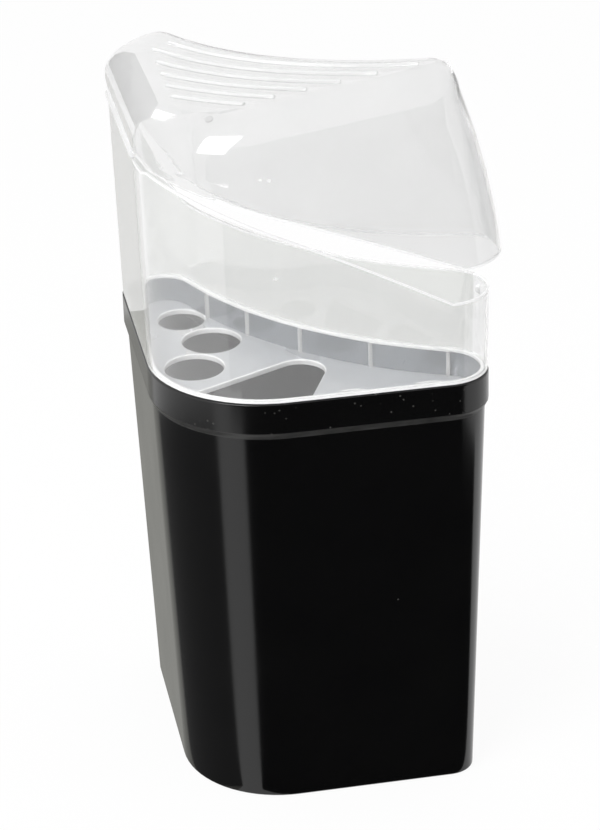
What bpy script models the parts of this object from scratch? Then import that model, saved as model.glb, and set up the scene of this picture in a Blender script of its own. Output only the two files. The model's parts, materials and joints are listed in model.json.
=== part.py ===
"""Corner-shaped upright stand for brushes and hobby tools.

A black tub carries a clear rack tray in its collar. A clear sleeve stands over the tray, and a clear lid
turns on a moulded bead along the straight hinge side of the sleeve. The lid rests slightly ajar.
"""
import math

import bmesh
import bpy

MM = 0.001

# Plan of the collar, measured from the square corner where the two straight sides would meet
LEG_X = 107.6 * MM
LEG_Y = 111.5 * MM
CORNER_R = 40.0 * MM
TIP_A_R = 13.0 * MM
TIP_C_R = 14.5 * MM
BACK_R = 142.0 * MM

# Gap left between pieces that touch
FIT = 0.3 * MM

# Tub
TUB_H = 150.0 * MM
COLLAR_H = 10.5 * MM
COLLAR_STEP = 1.2 * MM
COLLAR_CHAMFER = 2.0 * MM
COLLAR_WALL = 1.2 * MM
RIM_ROUND = 0.4 * MM
LEDGE_W = 1.8 * MM
BASE_INSET = 4.4 * MM
BASE_ROUND = 0.6 * MM
TUB_FLOOR = 2.2 * MM

# Rack tray
RACK_FLOOR = 1.8 * MM
RACK_WALL = 1.1 * MM
RACK_PROUD = 1.0 * MM
RACK_RIB_W = 1.2 * MM
RACK_RIB_DEEP = 0.8 * MM
RACK_RIB_DROP = 1.0 * MM
# Ribs on the tray's back wall: shares of the way from tip C to tip A
RACK_RIB_SHARES = (0.007, 0.247, 0.487, 0.695, 0.883)
# Round holes: share of the way along the straight hinge side, distance from that side, diameter
ROUND_HOLES = (
    (0.877, 18.3 * MM, 17.0 * MM),
    (0.542, 26.0 * MM, 20.0 * MM),
    (0.2085, 17.2 * MM, 20.0 * MM),
)
# Shield-shaped opening: corners measured from the round corner's axis, each with its rounding
SHIELD_CORNERS = (
    (27.7 * MM, 18.9 * MM, 8.5 * MM),
    (-30.5 * MM, -9.5 * MM, 4.0 * MM),
    (6.5 * MM, -29.2 * MM, 5.0 * MM),
)
# Openings by the front wall: shares of the way along the straight front
FRONT_HOLE_SHARES = (0.45, 0.93)
FRONT_HOLE_R = 11.5 * MM
FRONT_HOLE_EDGE = 2.3 * MM
FRONT_HOLE_DEPTH = 18.0 * MM

# Sleeve
SLEEVE_WALL = 0.9 * MM
SLEEVE_INSET = 0.3 * MM
SLEEVE_FLARE = 1.2 * MM
HINGE_RISE = 73.0 * MM
RAMP_RISE = 29.0 * MM
BACK_RISE = 29.0 * MM
RAMP_CURVE = 1.17
PART_GAP = 0.8 * MM

# Hinge bead
BEAD_R = 1.3 * MM
BEAD_PROUD = 1.0 * MM
HINGE_RELIEF = 1.5 * MM
AJAR = math.radians(6.0)

# Lid
LID_WALL = 1.1 * MM
LID_RISE = 14.7 * MM
TOP_RISE = 4.0 * MM
SIDE_EDGE = 1.2 * MM
FRONT_LEAN = 4.7 * MM
SIDE_LEAN = -0.5 * MM
BACK_LEAN = 1.5 * MM
FRONT_ROUND = 16.0 * MM
SIDE_ROUND = 13.5 * MM
BACK_ROUND = 2.5 * MM
LEAST_ROUND = 0.1 * MM
SHOULDER_TIP_R = 12.5 * MM
TOP_TIP_A = 7.5 * MM
TOP_TIP_C = 2.5 * MM
TOP_CORNER_R = 20.0 * MM
SHOULDER_SHARE = 0.3
RIB_COUNT = 6
RIB_PITCH = 6.3 * MM
RIB_W = 2.2 * MM
RIB_H = 0.7 * MM
RIB_MARGIN = 2.0 * MM

# Edges that bend more than this are shaded sharp
SHARP = math.radians(30.0)

# Facets along each stretch of the plan
FRONT_STEPS = 12
TIP_STEPS = 14
BACK_STEPS = 20
SIDE_STEPS = 6
CORNER_STEPS = 18
HOLE_STEPS = 36
RIB_STEPS = 6
WALL_ROWS = (0.0, 0.25, 0.5, 0.75, 1.0)
ROUND_ROWS = 6
BOX_FACES = ((3, 2, 1, 0), (4, 5, 6, 7), (0, 1, 5, 4), (1, 2, 6, 5), (2, 3, 7, 6), (3, 0, 4, 7))

# Levels and insets that follow from the sizes above
LEDGE_Z = TUB_H - COLLAR_H
RACK_Z = LEDGE_Z + FIT
RACK_FLOOR_Z = RACK_Z + RACK_FLOOR
RACK_TOP_Z = TUB_H + RACK_PROUD
RACK_WALL_INSET = COLLAR_WALL + FIT
RACK_INNER_INSET = RACK_WALL_INSET + RACK_WALL
FOOT_Z = TUB_H + FIT
HINGE_Z = TUB_H + HINGE_RISE
RAMP_Z = TUB_H + RAMP_RISE
BACK_Z = TUB_H + BACK_RISE
BEAD_GAP = BEAD_R + FIT
AXIS_INSET = SLEEVE_INSET - SLEEVE_FLARE + BEAD_R - BEAD_PROUD
SIDE_ROUND_Z = LID_RISE - BEAD_GAP - SIDE_EDGE


def back_centre():
    """Centre of the hollow back, whose arc meets both tip arcs smoothly."""
    ax, ay = TIP_A_R, LEG_Y - TIP_A_R
    cx, cy = LEG_X - TIP_C_R, TIP_C_R
    span = math.hypot(cx - ax, cy - ay)
    to_a = BACK_R + TIP_A_R
    to_c = BACK_R + TIP_C_R
    along = (to_a ** 2 - to_c ** 2 + span ** 2) / (2.0 * span)
    out = math.sqrt(to_a ** 2 - along ** 2)
    ux, uy = (cx - ax) / span, (cy - ay) / span
    return ax + ux * along - uy * out, ay + uy * along + ux * out


BACK_X, BACK_Y = back_centre()


def arc(centre, radius, start, end, steps):
    """Points along an arc, without its last one."""
    points = []
    for i in range(steps):
        angle = start + (end - start) * i / steps
        points.append((centre[0] + radius * math.cos(angle), centre[1] + radius * math.sin(angle)))
    return points


def line(start, end, steps):
    """Points along a straight stretch, without its last one."""
    points = []
    for i in range(steps):
        share = i / steps
        points.append((start[0] + (end[0] - start[0]) * share, start[1] + (end[1] - start[1]) * share))
    return points


def outline(front, side, back, corner_r, tip_a, tip_c):
    """Plan with each side set in by its own amount: front, tip C, back, tip A, hinge side, round corner."""
    reach = BACK_R + back
    cy = front + tip_c
    cx = BACK_X - math.sqrt((reach + tip_c) ** 2 - (cy - BACK_Y) ** 2)
    ax = side + tip_a
    ay = BACK_Y - math.sqrt((reach + tip_a) ** 2 - (ax - BACK_X) ** 2)
    to_c = math.atan2(BACK_Y - cy, BACK_X - cx)
    to_a = math.atan2(BACK_Y - ay, BACK_X - ax)
    corner = (side + corner_r, front + corner_r)
    points = line((corner[0], front), (cx, front), FRONT_STEPS)
    points += arc((cx, cy), tip_c, -math.pi / 2.0, to_c, TIP_STEPS)
    points += arc((BACK_X, BACK_Y), reach, to_c + math.pi, to_a + math.pi, BACK_STEPS)
    points += arc((ax, ay), tip_a, to_a, math.pi, TIP_STEPS)
    points += line((side, ay), (side, corner[1]), SIDE_STEPS)
    points += arc(corner, corner_r, math.pi, 1.5 * math.pi, CORNER_STEPS)
    return points


def plain(inset):
    """Plan set in evenly all round."""
    return outline(inset, inset, inset, CORNER_R - inset, TIP_A_R - inset, TIP_C_R - inset)


BASE = plain(0.0)
UNIT = 1.0 * MM
NORMALS = [((b[0] - p[0]) / UNIT, (b[1] - p[1]) / UNIT) for b, p in zip(BASE, plain(UNIT))]


def ease(share):
    """Smooth step from 0 to 1."""
    share = min(1.0, max(0.0, share))
    return share * share * (3.0 - 2.0 * share)


def around(front, side, back):
    """One value for each point of the plan, eased from side to side in the arcs."""
    values = [front] * FRONT_STEPS
    values += [front + (back - front) * ease(i / TIP_STEPS) for i in range(TIP_STEPS)]
    values += [back] * BACK_STEPS
    values += [back + (side - back) * ease(i / TIP_STEPS) for i in range(TIP_STEPS)]
    values += [side] * SIDE_STEPS
    values += [side + (front - side) * ease(i / CORNER_STEPS) for i in range(CORNER_STEPS)]
    return values


def parting_heights():
    """Height of the line between sleeve and lid: high at the hinge, a long ramp, low round the back."""
    ramp_end = LEG_X - TIP_C_R
    drop = HINGE_Z - RAMP_Z
    heights = [HINGE_Z - drop * min(1.0, max(0.0, x / ramp_end)) ** RAMP_CURVE for x, _ in BASE]
    first_back = FRONT_STEPS + TIP_STEPS
    first_tip_a = first_back + BACK_STEPS
    for i in range(TIP_STEPS):
        share = ease(i / TIP_STEPS)
        heights[FRONT_STEPS + i] = RAMP_Z + (BACK_Z - RAMP_Z) * share
        heights[first_tip_a + i] = BACK_Z + (HINGE_Z - BACK_Z) * share
    for i in range(first_back, first_tip_a):
        heights[i] = BACK_Z
    return heights


PARTING = parting_heights()
HALF_GAPS = [BEAD_GAP if x < HINGE_RELIEF else PART_GAP / 2.0 for x, _ in BASE]


def flare(z):
    """Inset of the sleeve's outer face, which widens upward."""
    return SLEEVE_INSET - SLEEVE_FLARE * (z - TUB_H) / HINGE_RISE


def level(points, z):
    """Ring of points at one height."""
    return [(x, y, z) for x, y in points]


def flared(heights, deeper):
    """Ring on the sleeve's flared face, or deeper than it, at its own height for each point."""
    ring = []
    for (x, y), (nx, ny), z in zip(BASE, NORMALS, heights):
        inset = flare(z) + deeper
        ring.append((x - nx * inset, y - ny * inset, z))
    return ring


def material(name, colour, roughness, alpha):
    """Plastic with its own colour and clearness."""
    made = bpy.data.materials.new(name)
    made.use_nodes = True
    shader = made.node_tree.nodes["Principled BSDF"]
    shader.inputs["Base Color"].default_value = (*colour, 1.0)
    shader.inputs["Roughness"].default_value = roughness
    shader.inputs["Metallic"].default_value = 0.0
    shader.inputs["Alpha"].default_value = alpha
    made.diffuse_color = (*colour, alpha)
    return made


def solid(name, vertices, faces, plastic):
    """Closed object from vertices measured from the plan's square corner."""
    mesh = bpy.data.meshes.new(name)
    mesh.from_pydata([(x - CORNER_R, y - CORNER_R, z) for x, y, z in vertices], [], faces)
    bm = bmesh.new()
    bm.from_mesh(mesh)
    bmesh.ops.recalc_face_normals(bm, faces=bm.faces)
    bm.to_mesh(mesh)
    bm.free()
    made = bpy.data.objects.new(name, mesh)
    bpy.context.collection.objects.link(made)
    if plastic is not None:
        mesh.materials.append(plastic)
        mesh.shade_smooth()
        mesh.set_sharp_from_angle(angle=SHARP)
    return made


def loft(name, rings, plastic, endless=False):
    """Skin through rings of equal length, capped at both ends or joined end to end."""
    count = len(rings[0])
    vertices = [point for ring in rings for point in ring]
    faces = []
    last = len(rings) if endless else len(rings) - 1
    for r in range(last):
        low = r * count
        high = (r + 1) % len(rings) * count
        for i in range(count):
            j = (i + 1) % count
            faces.append((low + i, low + j, high + j, high + i))
    if not endless:
        faces.append(tuple(reversed(range(count))))
        faces.append(tuple(range(len(vertices) - count, len(vertices))))
    return solid(name, vertices, faces, plastic)


def prism(name, points, low, high):
    """Upright block of any plan, used to cut or to add."""
    made = loft(name, [level(points, low), level(points, high)], None)
    made.hide_render = True
    made.display_type = "WIRE"
    return made


def combine(target, tool, operation):
    """Cut a tool from an object or add it."""
    change = target.modifiers.new(tool.name, "BOOLEAN")
    change.operation = operation
    change.solver = "EXACT"
    change.object = tool


def make_tub(plastic):
    """Drafted tub with a collar, whose step leaves a ledge inside."""
    base = COLLAR_STEP + BASE_INSET
    wall = COLLAR_WALL + LEDGE_W - COLLAR_STEP
    bend = math.sqrt(0.5)
    rings = [
        level(plain(base + BASE_ROUND), 0.0),
        level(plain(base + BASE_ROUND * (1.0 - bend)), BASE_ROUND * (1.0 - bend)),
        level(plain(base), BASE_ROUND),
        level(plain(COLLAR_STEP), LEDGE_Z - COLLAR_CHAMFER),
        level(plain(0.0), LEDGE_Z),
        level(plain(0.0), TUB_H - RIM_ROUND),
        level(plain(RIM_ROUND), TUB_H),
        level(plain(COLLAR_WALL), TUB_H),
        level(plain(COLLAR_WALL), LEDGE_Z),
        level(plain(COLLAR_WALL + LEDGE_W), LEDGE_Z),
        level(plain(base + wall), TUB_FLOOR),
    ]
    return loft("tub", rings, plastic)


def rounded(corners, steps):
    """Plan of a polygon with round corners, each given as x, y and radius."""
    points = []
    count = len(corners)
    for i, (x, y, radius) in enumerate(corners):
        before = corners[i - 1]
        after = corners[(i + 1) % count]
        to_before = math.atan2(before[1] - y, before[0] - x)
        to_after = math.atan2(after[1] - y, after[0] - x)
        turn = (to_before - to_after) % (2.0 * math.pi)
        half = turn / 2.0
        middle = to_after + half
        reach = radius / math.sin(half)
        centre = (x + reach * math.cos(middle), y + reach * math.sin(middle))
        start = to_before + math.pi / 2.0
        sweep = math.pi - turn
        for k in range(steps + 1):
            angle = start + sweep * k / steps
            points.append((centre[0] + radius * math.cos(angle), centre[1] + radius * math.sin(angle)))
    return points


def front_hole(x):
    """Round opening by the front wall, cut straight along that wall."""
    edge = RACK_INNER_INSET + FRONT_HOLE_EDGE
    centre = (x, edge + FRONT_HOLE_DEPTH - FRONT_HOLE_R)
    below = math.asin((FRONT_HOLE_DEPTH - FRONT_HOLE_R) / FRONT_HOLE_R)
    sweep = math.pi + 2.0 * below
    points = []
    for k in range(HOLE_STEPS + 1):
        angle = -below + sweep * k / HOLE_STEPS
        y = centre[1] + FRONT_HOLE_R * math.sin(angle)
        points.append((centre[0] + FRONT_HOLE_R * math.cos(angle), y))
    return points


def make_rack_ribs():
    """Small upright ribs along the tray's back wall."""
    near = BACK_R + RACK_INNER_INSET
    start = math.atan2(TIP_C_R - BACK_Y, LEG_X - TIP_C_R - BACK_X)
    end = math.atan2(LEG_Y - TIP_A_R - BACK_Y, TIP_A_R - BACK_X)
    low = RACK_FLOOR_Z - RACK_FLOOR / 2.0
    high = RACK_TOP_Z - RACK_RIB_DROP
    half = RACK_RIB_W / 2.0
    vertices = []
    faces = []
    for number, share in enumerate(RACK_RIB_SHARES):
        angle = start + (end - start) * share
        out = (math.cos(angle), math.sin(angle))
        for z in (low, high):
            for reach, across in (
                (near - RACK_WALL / 2.0, -half),
                (near + RACK_RIB_DEEP, -half),
                (near + RACK_RIB_DEEP, half),
                (near - RACK_WALL / 2.0, half),
            ):
                x = BACK_X + out[0] * reach - out[1] * across
                vertices.append((x, BACK_Y + out[1] * reach + out[0] * across, z))
        faces += [tuple(8 * number + corner for corner in face) for face in BOX_FACES]
    ribs = solid("rack_ribs", vertices, faces, None)
    ribs.hide_render = True
    ribs.display_type = "WIRE"
    return ribs


def make_rack(plastic):
    """Shallow tray on the ledge, with openings in its floor and ribs on its back wall."""
    rings = [
        level(plain(RACK_WALL_INSET), RACK_Z),
        level(plain(RACK_WALL_INSET), RACK_TOP_Z),
        level(plain(RACK_INNER_INSET), RACK_TOP_Z),
        level(plain(RACK_INNER_INSET), RACK_FLOOR_Z),
    ]
    rack = loft("rack", rings, plastic)
    low = RACK_Z - RACK_FLOOR
    high = RACK_FLOOR_Z + RACK_FLOOR
    plans = []
    for share, x, wide in ROUND_HOLES:
        y = CORNER_R + (LEG_Y - TIP_A_R - CORNER_R) * share
        plans.append(arc((x, y), wide / 2.0, 0.0, 2.0 * math.pi, HOLE_STEPS))
    plans.append(rounded([(CORNER_R + x, CORNER_R + y, r) for x, y, r in SHIELD_CORNERS], TIP_STEPS))
    for share in FRONT_HOLE_SHARES:
        plans.append(front_hole(CORNER_R + (LEG_X - TIP_C_R - CORNER_R) * share))
    for number, points in enumerate(plans):
        combine(rack, prism("rack_cut_%d" % number, points, low, high), "DIFFERENCE")
    ribs = make_rack_ribs()
    combine(rack, ribs, "UNION")
    return rack


def make_sleeve(plastic):
    """Clear wall standing on the collar, round the rack's rim."""
    tops = [z - gap for z, gap in zip(PARTING, HALF_GAPS)]
    rings = [
        level(plain(SLEEVE_INSET), FOOT_Z),
        flared(tops, 0.0),
        flared(tops, SLEEVE_WALL),
        level(plain(SLEEVE_INSET + SLEEVE_WALL), FOOT_Z),
    ]
    return loft("sleeve", rings, plastic, endless=True)


def make_bead(plastic):
    """Round bead that the lid turns on, along the straight part of the hinge side."""
    start = CORNER_R + FIT
    end = LEG_Y - TIP_A_R - FIT
    rings = []
    for y in (start, end):
        ring = []
        for k in range(CORNER_STEPS):
            angle = 2.0 * math.pi * k / CORNER_STEPS
            ring.append((AXIS_INSET + BEAD_R * math.cos(angle), y, HINGE_Z + BEAD_R * math.sin(angle)))
        rings.append(ring)
    return loft("hinge_bead", rings, plastic)


def top_z(x):
    """Height of the lid's flat top, which rises a little away from the hinge."""
    return HINGE_Z + LID_RISE + TOP_RISE * x / LEG_X


def lid_rings(deeper):
    """Rings of the lid's skin from its lower edge to its top, set in by a wall for the inside."""
    bottoms = [z + gap for z, gap in zip(PARTING, HALF_GAPS)]
    heights = around(FRONT_ROUND, SIDE_ROUND_Z, BACK_ROUND)
    rounds = (FRONT_ROUND, SIDE_ROUND, BACK_ROUND)
    leans = (FRONT_LEAN, SIDE_LEAN, BACK_LEAN)
    rings = []

    def plan(insets, share):
        front, side, back = [inset + deeper for inset in insets]
        corner = CORNER_R + (TOP_CORNER_R - CORNER_R) * share
        tip_a = TIP_A_R + (TOP_TIP_A - TIP_A_R) * share
        if share < SHOULDER_SHARE:
            tip_c = TIP_C_R + (SHOULDER_TIP_R - TIP_C_R) * share / SHOULDER_SHARE
        else:
            rest = (share - SHOULDER_SHARE) / (1.0 - SHOULDER_SHARE)
            tip_c = SHOULDER_TIP_R + (TOP_TIP_C - SHOULDER_TIP_R) * rest
        return outline(front, side, back, corner - deeper, tip_a - deeper, tip_c - deeper)

    for row in WALL_ROWS:
        points = plan([lean * row * row for lean in leans], SHOULDER_SHARE * row * row)
        ring = []
        for (x, y), (nx, ny), low, rise in zip(points, NORMALS, bottoms, heights):
            out = -flare(low) * (1.0 - row)
            high = top_z(x) - rise
            ring.append((x + nx * out, y + ny * out, low + (high - low) * row))
        rings.append(ring)
    for row in range(1, ROUND_ROWS + 1):
        angle = math.pi / 2.0 * row / ROUND_ROWS
        run = 1.0 - math.cos(angle)
        inward = [lean + max(r - deeper, LEAST_ROUND) * run for lean, r in zip(leans, rounds)]
        points = plan(inward, SHOULDER_SHARE + (1.0 - SHOULDER_SHARE) * run)
        ring = []
        for (x, y), rise in zip(points, heights):
            high = top_z(x) - deeper
            ring.append((x, y, high - max(rise - deeper, LEAST_ROUND) * (1.0 - math.sin(angle))))
        rings.append(ring)
    return rings


def rib_angles(radius):
    """Angles along one grip rib, from the front round to tip A or to the hinge side's round."""
    front = FRONT_LEAN + FRONT_ROUND + RIB_MARGIN
    side = SIDE_LEAN + SIDE_ROUND + RIB_MARGIN
    start = -math.pi + math.asin((BACK_Y - front) / radius)
    end = -math.pi + math.acos((BACK_X - side) / radius)
    tip_x = SIDE_LEAN + SIDE_ROUND + TOP_TIP_A
    reach = BACK_R + BACK_LEAN + BACK_ROUND + TOP_TIP_A
    tip_angle = -math.pi + math.acos((BACK_X - tip_x) / reach)
    tip_r = TOP_TIP_A - RIB_MARGIN
    if abs(radius - reach) < tip_r:
        opening = (radius ** 2 + reach ** 2 - tip_r ** 2) / (2.0 * radius * reach)
        end = tip_angle - math.acos(min(1.0, opening))
    return [start + (end - start) * k / BACK_STEPS for k in range(BACK_STEPS + 1)]


def rib_profile():
    """Domed section of a grip rib: steps across it and above the lid's top, from inside the wall."""
    sunk = LID_WALL / 2.0
    points = []
    for k in range(RIB_STEPS + 1):
        angle = math.pi * k / RIB_STEPS
        points.append((RIB_W / 2.0 * (1.0 - math.cos(angle)), (RIB_H + sunk) * math.sin(angle) - sunk))
    return points


def make_ribs():
    """Grip ribs on the lid's top, parallel to its hollow back edge."""
    first = BACK_R + BACK_LEAN + BACK_ROUND + RIB_PITCH / 2.0
    profile = rib_profile()
    count = len(profile)
    vertices = []
    faces = []
    for number in range(RIB_COUNT):
        radius = first + number * RIB_PITCH
        low = len(vertices)
        for angle in rib_angles(radius + RIB_W / 2.0):
            for across, up in profile:
                reach = radius + across
                x = BACK_X + reach * math.cos(angle)
                vertices.append((x, BACK_Y + reach * math.sin(angle), top_z(x) + up))
        for k in range(BACK_STEPS):
            a = low + count * k
            for e in range(count):
                f = (e + 1) % count
                faces.append((a + e, a + f, a + count + f, a + count + e))
        faces.append(tuple(reversed(range(low, low + count))))
        faces.append(tuple(range(len(vertices) - count, len(vertices))))
    ribs = solid("lid_ribs", vertices, faces, None)
    ribs.hide_render = True
    ribs.display_type = "WIRE"
    return ribs


def make_lid(plastic):
    """Clear hood lid with a rounded front and a ribbed top, turned ajar about the bead."""
    rings = list(reversed(lid_rings(LID_WALL))) + lid_rings(0.0)
    lid = loft("lid", rings, plastic)
    ribs = make_ribs()
    combine(lid, ribs, "UNION")
    pivot = bpy.data.objects.new("lid_pivot", None)
    bpy.context.collection.objects.link(pivot)
    pivot.location = (AXIS_INSET - CORNER_R, 0.0, HINGE_Z)
    for piece in (lid, ribs):
        piece.parent = pivot
        piece.matrix_parent_inverse.identity()
        piece.location = tuple(-value for value in pivot.location)
    pivot.rotation_euler = (0.0, -AJAR, 0.0)
    return lid


def main():
    """Build every piece where it stands."""
    for old in list(bpy.data.objects):
        bpy.data.objects.remove(old, do_unlink=True)
    black = material("black_plastic", (0.012, 0.012, 0.013), 0.22, 1.0)
    make_tub(black)
    make_rack(material("rack_plastic", (0.78, 0.80, 0.82), 0.2, 0.6))
    make_sleeve(material("sleeve_plastic", (0.86, 0.87, 0.88), 0.18, 0.4))
    make_bead(material("bead_plastic", (0.9, 0.91, 0.92), 0.2, 0.6))
    make_lid(material("lid_plastic", (0.86, 0.87, 0.88), 0.18, 0.4))
    bpy.context.view_layer.update()


if __name__ == "__main__":
    main()
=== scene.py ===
"""Looks of the corner-shaped brush and tool stand.

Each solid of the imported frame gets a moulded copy: its edges are rounded, its curves are shaded
smooth and its plastic is given a procedural material. The small marks of moulding are added, and
the stage is set.
"""

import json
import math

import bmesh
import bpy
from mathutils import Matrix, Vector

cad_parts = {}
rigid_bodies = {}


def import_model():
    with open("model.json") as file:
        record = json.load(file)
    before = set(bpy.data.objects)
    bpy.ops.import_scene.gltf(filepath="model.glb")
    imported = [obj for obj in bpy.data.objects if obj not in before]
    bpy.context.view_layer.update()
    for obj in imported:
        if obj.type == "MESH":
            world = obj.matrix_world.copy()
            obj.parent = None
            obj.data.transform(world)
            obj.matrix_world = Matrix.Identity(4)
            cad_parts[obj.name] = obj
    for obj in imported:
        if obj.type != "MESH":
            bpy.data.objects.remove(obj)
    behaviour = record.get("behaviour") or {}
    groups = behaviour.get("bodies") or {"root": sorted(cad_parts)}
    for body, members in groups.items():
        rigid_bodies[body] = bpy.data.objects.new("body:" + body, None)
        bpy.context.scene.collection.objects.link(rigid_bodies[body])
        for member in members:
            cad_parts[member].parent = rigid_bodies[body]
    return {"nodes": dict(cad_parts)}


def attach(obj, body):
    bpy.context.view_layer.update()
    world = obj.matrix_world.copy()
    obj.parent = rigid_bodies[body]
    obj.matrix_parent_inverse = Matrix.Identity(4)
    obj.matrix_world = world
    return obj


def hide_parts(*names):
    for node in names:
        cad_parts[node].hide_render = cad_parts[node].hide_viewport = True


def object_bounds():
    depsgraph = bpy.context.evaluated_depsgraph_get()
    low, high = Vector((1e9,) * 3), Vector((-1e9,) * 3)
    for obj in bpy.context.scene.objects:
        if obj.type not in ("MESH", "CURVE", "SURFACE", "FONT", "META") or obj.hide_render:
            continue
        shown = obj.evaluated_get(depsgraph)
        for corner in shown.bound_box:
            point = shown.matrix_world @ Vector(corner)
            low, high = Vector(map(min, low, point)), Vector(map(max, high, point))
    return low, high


bl_info = {
    "name": "Corner brush stand",
    "version": (1, 0, 0),
    "blender": (4, 5, 0),
    "location": "View3D > Sidebar > Stand",
    "description": "Dresses the corner-shaped brush and tool stand in moulded plastic",
    "category": "Object",
}

for leftover in list(bpy.data.objects):
    bpy.data.objects.remove(leftover, do_unlink=True)
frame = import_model()
CAD_BOX = [list(corner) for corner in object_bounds()]

MM = 0.001

# Photograph's frame and the camera that took it
IMAGE_TALL = 830
FOCAL_PX = 2940.0
SENSOR = 36.0
CAMERA_PLACE = (-139.6 * MM, -860.5 * MM, 555.0 * MM)
CAMERA_YAW = math.radians(9.87)
CAMERA_PITCH = math.radians(26.17)
CAMERA_ROLL = math.radians(-1.82)

# Tub, heights in millimetres: the chamfer under the collar, which carries a painted reflection,
# and how softly it starts and ends
CHAMFER_LOW = 137.4
CHAMFER_TOP = 139.6
CHAMFER_BLEND = (0.2, 0.3)
# Rack, heights in millimetres: between the floor's two faces, the cut below the white rim and
# the floor's upper face with its tolerance
TRAY_FLOOR = (139.85, 141.55)
TRAY_RIM = 150.1
TRAY_TOP = 141.6
TRAY_TOUCH = 0.05
# Widest side of a rib on the rack's wall, in millimetres
TRAY_RIB_STRIP = 1.5
# Openings by the rack's front wall start this far to the right
FRONT_HOLES = 0.0 * MM
# Lid's lower rim: how far its faces look down, and the heights in millimetres below which it has
# a white band and below which it is white, both painted highlight
LID_RIM_DOWN = -0.6
LID_RIM_BAND = 218.0
LID_HINGE = 226.0
# Plane of the lid's flat top: its lean, its distance from the origin in millimetres, and the
# least rise of a grip rib above it
LID_TOP_LEAN = math.radians(8.13)
LID_TOP_AT = 241.19
LID_RIB_RISE = 0.04
# Band of painted highlight beside the rims of the clear walls, how far back the front rims reach,
# and how far to the right the hinge side's rims reach; rims behind these get a dimmer one
RIM_BAND = 0.7 * MM
FRONT_RIM = -18.0 * MM
HINGE_RIM = -32.0 * MM
# How far a face looks up or down: at most on the hollow back wall, at most on any upright wall,
# at least on a level face, and between these on the rounded edge of an opening
BACK_WALL_LEAN = 0.3
UPRIGHT = 0.5
FACES_UP = 0.9
ROUNDED_UP = (0.1, 0.97)
# Place of the white edge plastic, with its painted highlight, in a clear wall's list of plastics
EDGE_NUMBER = 1

# Marks of moulding: place in millimetres and outward direction
GATE = ((-18.9, -21.2, 240.3), (-0.29, -0.33, 0.90))
LID_EJECTORS = (((-6.2, -36.2, 224.8), (-0.07, -0.86, 0.50)),
                ((-3.5, -36.6, 224.4), (-0.04, -0.88, 0.47)))
SLEEVE_EJECTOR = ((-3.2, -40.3, 193.3), (-0.04, -1.0, -0.02))
CATCH = ((65.5, -21.05, 174.3), (-0.96, -0.28, 0.02))
# Shape of a round mark: its sides, its lip as a share of the radius, and its dish and rounding as
# shares of the rise
MARK_SIDES = 32
MARK_LIP = 0.35
MARK_DISH = 0.7
MARK_SOFT = 0.3
# Shape of the catch: its size, how its top narrows, and its rounding as a share of its height
CATCH_SIZE = (1.4 * MM, 3.4 * MM, 1.4 * MM)
CATCH_TOP = (0.7, 0.5, 1.0)
CATCH_SOFT = 0.15

# Points closer than this are one point of a solid
WELD = 0.002 * MM
# Edges that bend more than this are moulded edges
SHARP = math.radians(28.0)
# Edges that bend less than this are shaded smooth
SMOOTH = math.radians(40.0)
# Triangles that bend less than this are one face
LEVEL = math.radians(20.0)
# Faces that bend less than this lie in one plane
FLAT = math.radians(0.5)
# Strips of a rounded edge: on thick walls and openings, and on thin walls
ROUND_STEPS = 3
THIN_STEPS = 2

# Black plastic: sizes of its clouds, painted reflection's stretches, dust spacing and ripple, in
# mm
TUB_CLOUD = 26.0
REFLECTION_STRETCH = 8.0
DUST_SPACING = 2.4
TUB_RIPPLE = 4.0
# Where the stretches of painted reflection break off, and their least strength
REFLECTION_BREAK = (0.3, 0.6)
REFLECTION_LEAST = 0.45
# Rim and middle of a speck as shares of its cell, how rarely it falls on the body and on the
# collar, and how much it covers
SPECK_EDGE = (0.16, 0.06)
SPECK_PICK = (0.72, 0.46)
DUST_COVER = 0.4
# Roughness: the polish's range, and what handling and the painted reflection's band add to it
TUB_POLISH = (0.11, 0.19)
HANDLED_ROUGH = 0.05
REFLECTION_ROUGH = 0.25
RIPPLE_DEPTH = 0.1 * MM
ABS_IOR = 1.53

# Clear plastics: haze, roughness, share of upright streaks and darkest share of the tint
FINISHES = {
    "frosted_tray": (0.46, 0.30, 0.0, 0.86),
    "clear_tray_wall": (0.22, 0.12, 0.5, 0.96),
    "tray_edge_highlight": (0.96, 0.35, 0.0, 0.96),
    "tray_rib_highlight": (0.50, 0.20, 0.0, 0.96),
    "clear_sleeve": (0.09, 0.05, 0.7, 0.96),
    "sleeve_back_painted_shade": (0.09, 0.05, 0.7, 0.96),
    "sleeve_edge_highlight": (0.88, 0.35, 0.0, 0.96),
    "sleeve_back_dim_highlight": (0.35, 0.20, 0.0, 0.96),
    "hinge_bead": (0.94, 0.25, 0.0, 0.96),
    "clear_lid": (0.12, 0.05, 0.0, 0.96),
    "lid_back_painted_light": (0.12, 0.05, 0.0, 0.96),
    "lid_ribs": (0.65, 0.20, 0.0, 0.96),
    "lid_edge_highlight": (0.88, 0.35, 0.0, 0.96),
    "lid_back_dim_highlight": (0.35, 0.20, 0.0, 0.96),
    "gate_mark": (0.15, 0.10, 0.0, 0.96),
    "mark_highlight": (0.90, 0.35, 0.0, 0.96),
}
# Sizes of the melt's flow and of the streaks in millimetres, and how far the streaks are drawn out
MELT_FLOW = 22.0
STREAK_WIDTH = 6.0
STREAK_DRAWN = (1.0, 1.0, 0.04)
# Least and most of the roughness as shares of it
POLISH_SPREAD = (0.7, 1.3)
FLOW_DEPTH = 0.2 * MM
BODY_IOR = 1.2
STYRENE_IOR = 1.49
COAT_ROUGH = 0.03
# Strength of the faint ripple on all plastics
RIPPLE_STRENGTH = 0.05

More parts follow.
